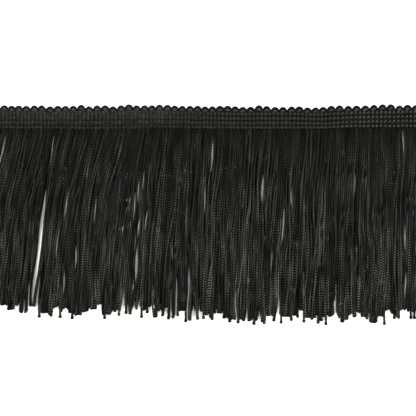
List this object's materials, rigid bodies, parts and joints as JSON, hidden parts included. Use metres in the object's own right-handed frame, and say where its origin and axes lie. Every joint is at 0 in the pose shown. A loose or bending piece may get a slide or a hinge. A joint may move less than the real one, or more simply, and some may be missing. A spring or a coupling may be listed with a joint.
{
  "type": "chainette fringe trim",
  "caption": "Cut length of chainette fringe trim, lying flat: a knitted heading with a looped edge, and cut strands in two layers along its other edge.",
  "frame": {"origin": "middle of the heading's flat back", "axes": "+X along the trim, +Y across it towards the looped edge, so the strands lie towards -Y, and +Z out of the face"},
  "size_m": [0.2261, 0.1066, 0.0024],
  "materials": {
    "heading_knit": "knitted, soft sheen",
    "picot_cord": "knitted cord, soft sheen",
    "chainette": "knitted strand, low lustre"
  },
  "bodies": {
    "root": {"heading": "heading_knit", "picot_edge": "picot_cord", "fringe_back": "chainette", "fringe_front": "chainette"}
  },
  "joints": []
}
